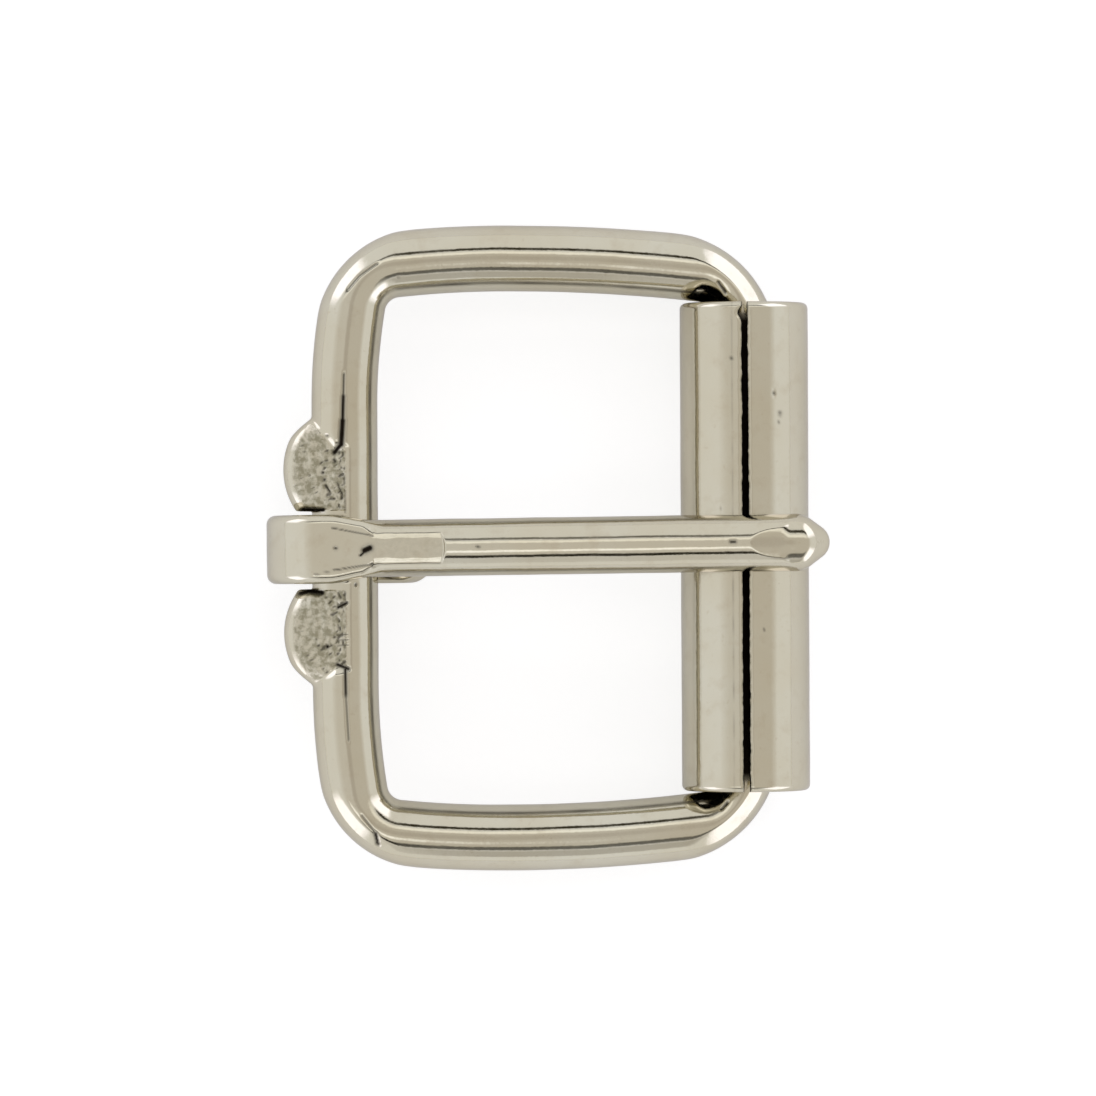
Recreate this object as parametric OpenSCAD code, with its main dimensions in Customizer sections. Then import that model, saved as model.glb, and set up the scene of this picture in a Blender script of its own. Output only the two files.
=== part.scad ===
// Roller buckle for a 38 mm strap: a bent wire frame, a rolled sheet roller and a tongue.
// It lies on its roller and on the eye of its tongue, with the tongue on top.
// X runs along the tongue, Y along the two bars, Z is up. The origin is on the resting
// surface, under the middle of the buckle.

/* [Frame] */
// Diameter of the round wire that the frame is bent from
wire_diameter = 5; // [4.6:0.1:5.4]
// Distance from the middle of the tongue bar to the middle of the roller bar
bar_spacing = 30.3; // [28:0.1:36]
// Clear width inside the frame at its widest place
strap_opening = 38.9; // [37:0.1:42]
// Length of the straight middle of the tongue bar
straight_length = 21; // [20:0.5:24]
// Radius to which the ends of the tongue bar are bowed
heel_bow_radius = 49; // [44:1:60]
// Radius to which the sides are bowed between the tongue bar and their crest
near_bow_radius = 82; // [74:1:100]
// Radius to which the sides are bowed between their crest and the roller bar
far_bow_radius = 130; // [110:1:160]
// Distance of the crest of the sides from the tongue bar
crest_position = 12.2; // [11:0.1:13.4]
// Inside radius of the bend at the tongue bar corners
heel_inside_radius = 1.2; // [0.9:0.1:1.6]
// Outside radius of the worn down tongue bar corners
heel_outside_radius = 8.3; // [7.9:0.1:8.7]
// Inside radius of the bend at the roller bar corners
roller_inside_radius = 1; // [0.8:0.1:1.2]
// Outside radius of the worn down roller bar corners
roller_outside_radius = 8.9; // [8.7:0.1:9.6]

/* [Ears] */
// Distance from the middle of the tongue bar to the rim of an ear
ear_reach = 4.65; // [4.5:0.05:4.9]
// Radius of an ear seen from above
ear_radius = 5.6; // [5.3:0.1:6]
// Slope of the slanting end of an ear, on the side away from the tongue
ear_end_slope = 38; // [35:1:41]
// Distance of that slanting end from the middle of the ear
ear_end_reach = 4.62; // [4.5:0.02:4.7]
// Distance of the middle of the left hand ear from the middle of the buckle
left_ear_position = 6; // [5.8:0.1:6.6]
// Distance of the middle of the right hand ear from the middle of the buckle
right_ear_position = 6.4; // [5.9:0.1:6.8]
// Radius of the rounded rim of an ear
ear_rim_radius = 1.35; // [1.25:0.05:1.45]
// Slope of the pressed faces of an ear
press_slope = 17.5; // [16:0.5:19]
// How far the press bites into the round wire
press_depth = 0.22; // [0.15:0.01:0.3]
// Gap between the tongue and the left hand ear
left_ear_play = 0.25; // [0.2:0.05:0.4]
// Gap between the tongue and the right hand ear
right_ear_play = 0.45; // [0.2:0.05:0.6]

/* [Roller] */
// Outside diameter of the roller
roller_diameter = 9.7; // [9.3:0.1:10.5]
// Thickness of the sheet that the roller is rolled from
sheet_thickness = 1.1; // [0.9:0.05:1.2]
// Gap between each end of the roller and the frame
roller_end_gap = 0.15; // [0.15:0.05:0.5]
// Radius of the rounded end rims of the roller
roller_rim_radius = 0.45; // [0.2:0.05:0.5]
// Width of the open seam at its narrow end
seam_narrow = 0.3; // [0.2:0.05:0.5]
// Width of the open seam at its wide end
seam_wide = 0.5; // [0.3:0.05:0.8]
// Gap between the roller and the bar that lies in its bore
bar_gap = 0.1; // [0.05:0.01:0.2]

/* [Tongue] */
// Diameter of the round wire that the tongue is made from
tongue_diameter = 4.3; // [4:0.1:4.4]
// Width of the flattened eye
eye_width = 5.2; // [5:0.1:5.6]
// Thickness of the flattened eye
eye_thickness = 2.2; // [2:0.05:2.5]
// Gap between the eye and the tongue bar
eye_gap = 0.12; // [0.08:0.01:0.2]
// Extra room inside the eye, beyond the tongue bar
eye_slack = 1.13; // [0.9:0.01:1.3]
// Radius of the rounded edges of the eye
eye_edge_radius = 0.7; // [0.4:0.05:0.9]
// Width of the cut end under the shank
tail_width = 4.7; // [4.5:0.05:4.8]
// Sideways shift of the cut end
tail_shift = 0.3; // [0.2:0.02:0.35]
// Slope of the cut end towards the shank
tail_slope = 33.5; // [31:0.5:36]
// Gap between the cut end and the shank
tail_gap = 0.1; // [0.08:0.01:0.3]
// Depth of the flat pressed on the shank beside the eye
pad_depth = 0.28; // [0.2:0.01:0.35]
// Distance from the tongue bar to the far end of that flat
pad_end = 7.7; // [6.5:0.1:9]
// Gap between the tongue and the roller
tip_gap = 0.1; // [0.05:0.01:0.2]
// How far the tip reaches past the roller
tip_overhang = 1.3; // [1.2:0.05:2.2]
// Angle by which the tip droops
tip_droop = 16; // [10:1:20]
// Radius to which the tip is bent down
droop_radius = 12; // [10:0.5:14]
// Length of the pointed nose
nose_length = 2; // [1.9:0.05:2.4]
// Radius of the ball that the nose ends in
nose_ball_radius = 1.35; // [1.25:0.05:1.5]
// Depth of the flat on top of the tip
tip_flat_depth = 0.16; // [0.1:0.01:0.2]
// Angle by which the tongue lies off square
tongue_skew = 0.5; // [0:0.1:0.8]

/* [Hidden] */
$fn = 96;
metal = [0.77, 0.75, 0.68];
wire_radius = wire_diameter / 2;
roller_radius = roller_diameter / 2;
bore_radius = roller_radius - sheet_thickness;
tongue_radius = tongue_diameter / 2;

// Point where two circles meet, on the left of the way from the first centre to the second
// when side is 1, and on the right when it is -1.
function meet(a, ra, b, rb, side) =
    let (
        d = norm(b - a),
        u = (b - a) / d,
        t = (ra * ra - rb * rb + d * d) / (2 * d),
        h = sqrt(ra * ra - t * t)
    )
    a + t * u + side * h * [-u[1], u[0]];

// The tight bends are this much thinner than the wire, and lap this far into the runs beside
// them. The knuckle where the tip starts stands this far out of its wire, and the nose is as
// much thinner and laps this far into the wire behind it.
bend_thinning = 0.02;
bend_lap = 0.2;
knuckle_rise = 0.012;
nose_lap = 0.3;

// The frame seen from above, with the tongue bar at x = 0. All of it is mirrored in y.
crest_height = strap_opening / 2 + wire_radius;
heel_bow_centre = [heel_bow_radius, straight_length / 2];
near_bow_centre = [crest_position, crest_height - near_bow_radius];
far_bow_centre = [crest_position, crest_height - far_bow_radius];
heel_bend = heel_inside_radius + wire_radius;
roller_bend = roller_inside_radius + wire_radius;
heel_bend_centre = meet(heel_bow_centre, heel_bow_radius - heel_bend,
                        near_bow_centre, near_bow_radius - heel_bend, -1);
roller_bend_x = bar_spacing - roller_bend;
roller_bend_centre = [
    roller_bend_x,
    far_bow_centre[1]
        + sqrt(pow(far_bow_radius - roller_bend, 2) - pow(roller_bend_x - crest_position, 2))
];
heel_bow_angle = atan2(heel_bend_centre[1] - heel_bow_centre[1],
                       heel_bow_centre[0] - heel_bend_centre[0]);
near_bow_angle = atan2(crest_position - heel_bend_centre[0],
                       heel_bend_centre[1] - near_bow_centre[1]);
far_bow_angle = atan2(roller_bend_centre[0] - crest_position,
                      roller_bend_centre[1] - far_bow_centre[1]);

// The outsides of the corners are worn to a rounder curve than the bend inside them. The
// curve starts this far outside the wire, so that it crosses the surface at a clear angle.
wear_start = 0.06;
wear_section = wire_radius * 1.12;
heel_wear_centre = meet(
    heel_bow_centre, heel_bow_radius + wire_radius + wear_start - heel_outside_radius,
    near_bow_centre, near_bow_radius + wire_radius + wear_start - heel_outside_radius, -1);
roller_wear_x = bar_spacing + wire_radius + wear_start - roller_outside_radius;
roller_wear_centre = [
    roller_wear_x,
    far_bow_centre[1]
        + sqrt(pow(far_bow_radius + wire_radius + wear_start - roller_outside_radius, 2)
               - pow(roller_wear_x - crest_position, 2))
];
heel_wear_from = 90 + atan2(crest_position - heel_wear_centre[0],
                            heel_wear_centre[1] - near_bow_centre[1]);
heel_wear_to = 180 - atan2(heel_wear_centre[1] - heel_bow_centre[1],
                           heel_bow_centre[0] - heel_wear_centre[0]);
roller_wear_to = 90 - atan2(roller_wear_centre[0] - crest_position,
                            roller_wear_centre[1] - far_bow_centre[1]);

// The ears
ear_x = ear_radius - ear_reach;
ear_shoulder = wire_radius - 0.2;
ear_rim_edge = 1.1;
ear_rim_inset = ear_rim_radius - sqrt(pow(ear_rim_radius, 2) - pow(ear_rim_edge, 2));
ear_root = 0.5;
left_slot = eye_width / 2 + left_ear_play;
right_slot = eye_width / 2 + right_ear_play;

// The roller
roller_length = 2 * (roller_bend_centre[1] + roller_inside_radius - roller_end_gap);
bar_drop = bore_radius - wire_radius - bar_gap;

// The tongue, laid along x with the tongue bar at the origin
eye_bore = wire_radius + eye_gap;
eye_outside = eye_bore + eye_thickness;
eye_middle = eye_bore + eye_thickness / 2;
shank_height = eye_outside + pad_depth - tongue_radius;
tail_length = (shank_height - tongue_radius - tail_gap + eye_bore * cos(tail_slope))
              / sin(tail_slope);
// The shank clears the bar by this much more than the eye does. The cut end laps this far into
// the bend before it, and is this much thinner on each side.
shank_relief = 0.02;
tail_lap = 0.3;
tail_inset = 0.02;
nose_ball = nose_length - nose_ball_radius;
nose_base = tongue_radius - knuckle_rise;
nose_touch = acos(nose_ball_radius / norm([nose_ball, nose_base]))
             - atan2(nose_ball, nose_base);
shank_to_roller = roller_radius + tip_gap + tongue_radius;

// How the buckle lies: the slope of the tongue is worked out again until it settles
function heel_height(slope) = eye_outside + eye_slack * sin(slope);
function run(slope) = sqrt(pow(bar_spacing, 2)
                           - pow(heel_height(slope) - roller_radius + bar_drop, 2));
function lie(slope) =
    let (rise = roller_radius - heel_height(slope), along = run(slope))
    asin((shank_to_roller - shank_height) / norm([rise, along])) + atan2(rise, along);
function settle(slope, rounds) = rounds == 0 ? slope : settle(lie(slope), rounds - 1);
tongue_slope = settle(8, 6);
bar_height = heel_height(tongue_slope);
roller_x = run(tongue_slope);
frame_tilt = asin((bar_height - roller_radius + bar_drop) / bar_spacing);

// Where the droop of the tip starts, so that the tip reaches as far as it should
tip_reach = roller_x + roller_radius + tip_overhang;
tip_fall = droop_radius * (1 - cos(tip_droop)) + nose_length * sin(tip_droop);
droop_start = (tip_reach + sin(tongue_slope) * (shank_height - tip_fall)) / cos(tongue_slope)
              - droop_radius * sin(tip_droop) - nose_length * cos(tip_droop);
heel_reach = eye_outside + eye_slack * cos(tongue_slope);
middle_x = (tip_reach - heel_reach) / 2;

// A run of wire bent to a long curve
module bow(centre, radius, angle) {
    translate([centre[0], centre[1], 0])
        rotate_extrude(start = 90, angle = angle)
            translate([radius, 0]) circle(r = wire_radius);
}

// A tight bend. It is a hair thinner than the runs that it joins and laps a little way into
// both, so that the three become one piece.
module bend(centre, radius, from, to) {
    lap = asin(bend_lap / radius);
    translate([centre[0], centre[1], 0])
        rotate_extrude(start = from - lap, angle = to - from + 2 * lap)
            translate([radius, 0]) circle(r = wire_radius - bend_thinning);
}

module half_wire() {
    translate([heel_bow_centre[0], heel_bow_centre[1], 0])
        mirror([0, 1, 0])
            rotate_extrude(start = 180, angle = heel_bow_angle)
                translate([heel_bow_radius, 0]) circle(r = wire_radius);
    bow(near_bow_centre, near_bow_radius, near_bow_angle);
    translate([2 * crest_position, 0, 0])
        mirror([1, 0, 0]) bow(far_bow_centre, far_bow_radius, far_bow_angle);
    bend(heel_bend_centre, heel_bend, 90 + near_bow_angle, 180 - heel_bow_angle);
    bend(roller_bend_centre, roller_bend, 0, 90 - far_bow_angle);
}

module half_bar(x, length) {
    translate([x, length, 0])
        rotate([90, 0, 0]) cylinder(r = wire_radius, h = length);
}

module corner_wear(centre, radius, from, to) {
    translate([centre[0], centre[1], 0])
        rotate_extrude(start = from, angle = to - from)
            difference() {
                translate([radius - wear_section, -wire_radius - 1])
                    square([wear_section + 3, 2 * wire_radius + 2]);
                translate([radius - wear_section, 0]) circle(r = wear_section);
            }
}

module half_wear() {
    corner_wear(heel_wear_centre, heel_outside_radius, heel_wear_from, heel_wear_to);
    corner_wear(roller_wear_centre, roller_outside_radius, 0, roller_wear_to);
}

// How far beyond its middle an ear reaches along the bar, at the distance x from the bar
function ear_end(x) = (ear_end_reach + x * sin(ear_end_slope)) / cos(ear_end_slope);

// The room of an ear: beside the tongue's slot it ends square, and at its far end slanting
module ear_room(y, slot) {
    edge = -ear_reach - 1;
    translate([0, 0, -wire_diameter])
        linear_extrude(height = 2 * wire_diameter)
            polygon([
                [edge, slot],
                [ear_root, slot],
                [ear_root, y + ear_end(ear_root)],
                [edge, y + ear_end(edge)]
            ]);
}

// An ear before it is pressed: a disc with sloping shoulders and a rounded rim
module ear_blank(y) {
    translate([ear_x, y, 0])
        rotate_extrude() {
            polygon([
                [0, -ear_shoulder],
                [ear_radius - 2.2, -ear_shoulder],
                [ear_radius - ear_rim_inset, -ear_rim_edge],
                [ear_radius - ear_rim_inset, ear_rim_edge],
                [ear_radius - 2.2, ear_shoulder],
                [0, ear_shoulder]
            ]);
            intersection() {
                translate([ear_radius - ear_rim_radius, 0]) circle(r = ear_rim_radius);
                translate([0, -wire_radius]) square([ear_radius + 1, 2 * wire_radius]);
            }
        }
}

module press(from, length) {
    for (side = [0, 1])
        mirror([0, 0, side])
            rotate([0, -press_slope, 0])
                translate([-8, from, wire_radius - press_depth]) cube([10, length, 4]);
}

// Half of the frame, from the middle of both bars, with an ear next to the tongue's slot
module half_frame(ear_position, slot) {
    difference() {
        union() {
            half_bar(0, straight_length / 2);
            half_bar(bar_spacing, roller_bend_centre[1]);
            half_wire();
            intersection() {
                ear_blank(ear_position);
                ear_room(ear_position, slot);
            }
        }
        half_wear();
        press(slot, ear_position + ear_end(-wire_radius) - slot);
    }
}

module frame_flat() {
    half_frame(left_ear_position, left_slot);
    rotate([180, 0, 0]) half_frame(right_ear_position, right_slot);
}

module frame() {
    color(metal)
        translate([-middle_x, 0, bar_height])
            rotate([0, frame_tilt, 0])
                frame_flat();
}

module rounded(width, height, radius) {
    translate([radius, 0]) square([width - 2 * radius, height]);
    translate([0, radius]) square([width, height - 2 * radius]);
    for (x = [radius, width - radius])
        for (y = [radius, height - radius])
            translate([x, y]) circle(r = radius);
}

module roller() {
    color(metal)
        translate([roller_x - middle_x, 0, roller_radius])
            difference() {
                rotate([90, 0, 0])
                    rotate_extrude()
                        translate([bore_radius, -roller_length / 2])
                            rounded(sheet_thickness, roller_length, roller_rim_radius);
                linear_extrude(height = roller_radius + 1)
                    polygon([
                        [-seam_narrow / 2, roller_length / 2 + 1],
                        [seam_narrow / 2, roller_length / 2 + 1],
                        [seam_wide / 2, -roller_length / 2 - 1],
                        [-seam_wide / 2, -roller_length / 2 - 1]
                    ]);
            }
}

// A piece of the flattened strap, its inner face eye_bore away from the tongue bar
module strap_arc(width, shift, from, to) {
    rotate([90, 0, 0])
        rotate_extrude(start = from, angle = to - from)
            translate([eye_bore, -width / 2 - shift])
                rounded(eye_thickness, width, eye_edge_radius);
}

module strap_run(width, shift, length, inset = 0) {
    rotate([90, 0, 90])
        linear_extrude(height = length)
            translate([shift - width / 2 + inset, eye_bore + inset])
                rounded(width - 2 * inset, eye_thickness - 2 * inset, eye_edge_radius);
}

// The flattened strap over the tongue bar, narrowed to the width of the shank
module eye_top() {
    narrow_from = 0.6;
    narrow_to = wire_radius + 0.6;
    intersection() {
        translate([-eye_slack, 0, 0]) strap_run(eye_width, 0, eye_slack + narrow_to);
        linear_extrude(height = eye_outside + 1)
            polygon([
                [-eye_slack - 1, -eye_width],
                [narrow_from, -eye_width],
                [narrow_from, -eye_width / 2],
                [narrow_to + 0.01, -tongue_radius + 0.2],
                [narrow_to + 0.01, tongue_radius - 0.2],
                [narrow_from, eye_width / 2],
                [narrow_from, eye_width],
                [-eye_slack - 1, eye_width]
            ]);
    }
}

module tail() {
    translate([-eye_slack, 0, 0])
        mirror([0, 0, 1]) strap_run(tail_width, -tail_shift, eye_slack);
    strap_arc(tail_width, -tail_shift, -90, -90 + tail_slope);
    rotate([0, -tail_slope, 0])
        intersection() {
            translate([-tail_lap, 0, 0])
                mirror([0, 0, 1])
                    strap_run(tail_width, -tail_shift, tail_length + 1, tail_inset);
            translate([0, -tail_shift, -eye_outside - 1])
                linear_extrude(height = eye_thickness + 2) {
                    translate([-1, -tail_width])
                        square([tail_length - tail_width / 2 + 1, 2 * tail_width]);
                    translate([tail_length - tail_width / 2, 0]) circle(d = tail_width);
                }
        }
}

module shank() {
    difference() {
        translate([0, 0, shank_height])
            rotate([0, 90, 0]) cylinder(r = tongue_radius, h = droop_start);
        translate([-1, -eye_width, eye_outside])
            cube([pad_end + 1, 2 * eye_width, tongue_radius]);
        rotate([90, 0, 0])
            translate([0, 0, -eye_width])
                cylinder(r = eye_bore + shank_relief, h = 2 * eye_width);
    }
}

module tip() {
    difference() {
        union() {
            rotate([90, 0, 0])
                rotate_extrude(start = 90 - tip_droop, angle = tip_droop)
                    translate([droop_radius, 0]) circle(r = tongue_radius);
            translate([0, 0, droop_radius]) sphere(r = tongue_radius + knuckle_rise);
            rotate([0, tip_droop, 0])
                translate([0, 0, droop_radius])
                    rotate([0, 90, 0]) nose();
        }
        rotate([0, tip_droop / 2 + 1, 0])
            translate([-2.6, -eye_width, droop_radius + tongue_radius - tip_flat_depth])
                cube([6, 2 * eye_width, 2]);
    }
}

// The nose is a cone that runs out into a ball
module nose() {
    rotate_extrude() {
        polygon([
            [0, -nose_lap],
            [nose_base, -nose_lap],
            [nose_base, 0],
            [nose_ball_radius * cos(nose_touch), nose_ball + nose_ball_radius * sin(nose_touch)],
            [0, nose_ball + nose_ball_radius * sin(nose_touch)]
        ]);
        intersection() {
            translate([0, nose_ball]) circle(r = nose_ball_radius);
            translate([0, nose_ball]) square([tongue_radius, nose_length]);
        }
    }
}

module tongue_straight() {
    translate([-eye_slack, 0, 0]) strap_arc(eye_width, 0, 90, 270);
    eye_top();
    shank();
    translate([droop_start, 0, shank_height - droop_radius]) tip();
    tail();
}

module tongue() {
    color(metal)
        translate([-middle_x, 0, bar_height])
            rotate([0, -tongue_slope, 0])
                rotate([0, 0, tongue_skew])
                    tongue_straight();
}

frame();
roller();
tongue();
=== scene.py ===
# %% [markdown]
# # A roller buckle, dressed for its portrait
# The buckle is three pieces of nickel-plated steel: a wire frame with two pressed ears, a
# roller rolled from sheet, and a tongue made from a second bent wire. The CAD model holds the
# exact sizes. This lesson rebuilds each piece as one closed surface over the same lines, so
# that soft worn edges, press marks and scratches can be part of the shape, and then gives the
# pieces one plated finish, a light tent and a camera.

# %% Load the frame and its box
import math

import bpy
import numpy as np
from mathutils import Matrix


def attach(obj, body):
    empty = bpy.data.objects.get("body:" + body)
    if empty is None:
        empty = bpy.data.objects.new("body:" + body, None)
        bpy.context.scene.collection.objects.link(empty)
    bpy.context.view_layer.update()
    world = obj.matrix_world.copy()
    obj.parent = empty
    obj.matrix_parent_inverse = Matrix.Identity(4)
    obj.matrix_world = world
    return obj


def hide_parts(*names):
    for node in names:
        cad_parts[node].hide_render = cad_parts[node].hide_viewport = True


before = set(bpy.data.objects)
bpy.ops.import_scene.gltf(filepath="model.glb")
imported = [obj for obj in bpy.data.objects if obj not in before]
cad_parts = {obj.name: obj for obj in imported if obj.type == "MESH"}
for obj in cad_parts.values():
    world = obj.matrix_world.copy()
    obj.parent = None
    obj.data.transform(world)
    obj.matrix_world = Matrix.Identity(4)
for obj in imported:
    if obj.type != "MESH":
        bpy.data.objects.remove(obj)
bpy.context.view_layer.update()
print("nodes", sorted(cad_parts))

# %% [markdown]
# ## The sizes that the pieces share
# Everything is worked out in millimetres in the buckle's own flat layout: the tongue bar lies
# along y at x = 0 and the roller bar lies beside it. Two turns then lay the flat shapes down as
# the buckle rests on its roller and on the eye of its tongue. The numbers are those of the CAD
# model, so the surfaces lie on the solids.

# %% Sizes in millimetres, angles in degrees
MM = 0.001  # a millimetre in the scene's metres
WIRE = 2.5  # radius of the frame's wire
BAR_GAP = 30.3  # from the middle of the tongue bar to that of the roller bar
BAR_X, BAR_Z = -15.2417, 4.97045  # where the tongue bar rests
FRAME_TILT = 2.403  # the roller bar lies lower than the tongue bar, in the roller's bore
TONGUE_SLOPE = 7.651  # the tongue rises to the top of the roller
TONGUE_SKEW = 0.5  # and slants a little across the buckle
ROLLER_X, ROLLER_R = 15.0316, 4.85  # the roller's axis and its outer radius


def sind(a):
    """The sine of an angle in degrees."""
    return np.sin(np.radians(a))


def cosd(a):
    """The cosine of an angle in degrees."""
    return np.cos(np.radians(a))


def turn_y(p, degrees):
    """Turns points about the y axis: x and z mix, as for a plank tipped end over end."""
    c, s = cosd(degrees), sind(degrees)
    return np.stack([p[..., 0] * c + p[..., 2] * s, p[..., 1],
                     -p[..., 0] * s + p[..., 2] * c], -1)


def turn_z(p, degrees):
    """Turns points about the upright axis."""
    c, s = cosd(degrees), sind(degrees)
    return np.stack([p[..., 0] * c - p[..., 1] * s, p[..., 0] * s + p[..., 1] * c,
                     p[..., 2]], -1)


def lay_frame(p):
    """From the frame's flat layout to where it rests, in millimetres."""
    return turn_y(p, FRAME_TILT) + [BAR_X, 0, BAR_Z]


def lay_tongue(p):
    """From the tongue's own straight layout to where it rests, in millimetres."""
    return turn_y(turn_z(p, TONGUE_SKEW), -TONGUE_SLOPE) + [BAR_X, 0, BAR_Z]


print("frame tilts", FRAME_TILT, "tongue slopes", TONGUE_SLOPE)

# %% [markdown]
# ## Tools for surfaces
# Each piece is a grid of points: rows follow a path and each row goes once round the section.
# The section of a worn wire is no plain circle, so it is found by walking outwards. A rule says
# whether a place is metal or air, and halving the step again and again finds the surface. Rules
# combine well: the larger of two distances cuts one shape with another, and a rounded larger
# value cuts it with a soft edge, as wear does.


# %% Soft cuts, soft joins and ripples
def soft_max(a, b, soft):
    """The larger of a and b. Where they differ by less than `soft`, a parabola rounds it."""
    h = np.clip(0.5 + 0.5 * (a - b) / soft, 0, 1)
    return b + (a - b) * h + soft * h * (1 - h)


def soft_min(a, b, soft):
    """The smaller of a and b, with the corner between them filled by the same parabola."""
    return -soft_max(-a, -b, soft)


def ease(x, start, end):
    """0 before start, 1 after end, and the curve 3t^2 - 2t^3 between them."""
    t = np.clip((x - start) / (end - start), 0, 1)
    return t * t * (3 - 2 * t)


def ripple(p, size, seed, waves=14):
    """A smooth random height, mostly from -1 to 1: the sum of sine waves of about the given
    length, each with its own direction and phase, divided by the root of twice their number."""
    rng = np.random.default_rng(seed)
    way = rng.normal(size=(waves, 3))
    way /= np.linalg.norm(way, axis=1)[:, None]
    way *= 2 * np.pi / (size * rng.uniform(0.7, 1.5, (waves, 1)))
    phase = rng.uniform(0, 6.28, waves)
    return np.sin(p @ way.T + phase).sum(-1) / math.sqrt(waves * 2)


def walk_out(outside, near, far, rounds=26):
    """Halves the span between near (metal) and far (air) until the surface is found."""
    low, high = near + np.zeros_like(far), far.copy()
    for _ in range(rounds):
        middle = (low + high) / 2
        metal = outside(middle) < 0
        low, high = np.where(metal, middle, low), np.where(metal, high, middle)
    return (low + high) / 2


# %% From a grid of points to a closed mesh
def signed_volume(p, quads):
    """Adds the volumes of the thin tetrahedra between the origin and each half face."""
    a, b, c, d = (p[quads[:, i]] for i in range(4))
    return (np.einsum("ij,ij->i", a, np.cross(b, c))
            + np.einsum("ij,ij->i", a, np.cross(c, d))).sum() / 6


def skin(name, grid, ends, marks):
    """Joins each point of a (rows, round) grid to its neighbours. Rows are closed loops. The
    ends of the path are joined to each other ("ring"), gathered in one point each ("poles"), or
    closed by a strip across the loop ("strips"). Faces are turned outwards by the sign of the
    volume. marks are one number per point, kept with the mesh for its finish."""
    n, m = grid.shape[:2]
    index = np.arange(n * m).reshape(n, m)
    points = grid.reshape(-1, 3)
    rows = np.vstack([index, index[:1]]) if ends == "ring" else index
    a, b = rows[:-1], rows[1:]
    quads = np.stack([a, np.roll(a, -1, 1), np.roll(b, -1, 1), b], -1).reshape(-1, 4)
    if ends == "strips":
        k = np.arange(m // 2 - 1)
        near = np.stack([index[0, k + 1], index[0, k], index[0, m - 1 - k],
                         index[0, m - 2 - k]], -1)
        last = np.stack([index[-1, k], index[-1, k + 1], index[-1, m - 2 - k],
                         index[-1, m - 1 - k]], -1)
        quads = np.vstack([quads, near, last])
    flip = signed_volume(points, quads) < 0
    faces = (quads[:, ::-1] if flip else quads).tolist()
    marks = {k: v.reshape(-1) for k, v in marks.items()}
    if ends == "poles":
        for row, out in ((index[0], False), (index[-1], True)):
            tip = len(points)
            points = np.vstack([points, points[row].mean(0)])
            marks = {k: np.append(v, v[row].mean()) for k, v in marks.items()}
            fan = np.stack([row, np.roll(row, -1), np.full(m, tip)], -1)
            faces += (fan if out != flip else fan[:, ::-1]).tolist()
    mesh = bpy.data.meshes.new(name)
    mesh.from_pydata((points * MM).tolist(), [], faces)
    for key, value in marks.items():
        mesh.attributes.new(key, "FLOAT", "POINT").data.foreach_set(
            "value", value.astype(np.float32))
    mesh.shade_smooth()
    piece = bpy.data.objects.new(name, mesh)
    bpy.context.scene.collection.objects.link(piece)
    triangles = len(mesh.loops) - 2 * len(mesh.polygons)  # each face's corners less two
    print(name, len(points), "points", triangles, "triangles")
    return piece


# %% [markdown]
# ## The frame: one bent wire
# The real frame is a length of 5 mm wire bent to a loop, with its ears pressed out of the
# tongue bar. Its middle line is a chain of straight lines and arcs, so a profile carried along
# that chain gives the whole loop, and the places that were worn or pressed are cut by rules.


# %% The middle line of half the frame
def arc(centre, radius, start, end, step):
    """Points on a circle about centre, from one angle to another, about step apart, each with
    the direction away from the centre."""
    count = max(2, int(abs(math.radians(end - start)) * radius / step))
    a = np.linspace(start, end, count, endpoint=False)
    out = np.stack([cosd(a), sind(a)], -1)
    return np.array(centre) + radius * out, out


def line(start, end, step):
    """Evenly spaced points from start to end, without the end."""
    count = max(2, int(math.dist(start, end) / step))
    t = np.linspace(0, 1, count, endpoint=False)[:, None]
    return np.array(start) * (1 - t) + np.array(end) * t


BAR_HALF = 10.5  # half the straight stretch of the tongue bar
CREST_X, CREST_Y = 12.2, 21.95  # the outermost place of the bowed side
HEEL_BEND, HEEL_BEND_R = (4.300, 17.8505), 3.7  # the bend beside the tongue bar
ROLLER_BEND, ROLLER_BEND_R = (26.8, 17.6046), 3.5  # the bend beside the roller bar
HEEL_BOW_R, NEAR_BOW_R, FAR_BOW_R = 49, 82, 130  # radii of the slightly bowed stretches
HEEL_BOW, NEAR_BOW, FAR_BOW = 9.338, 5.790, 6.628  # the angles they turn through


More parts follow.
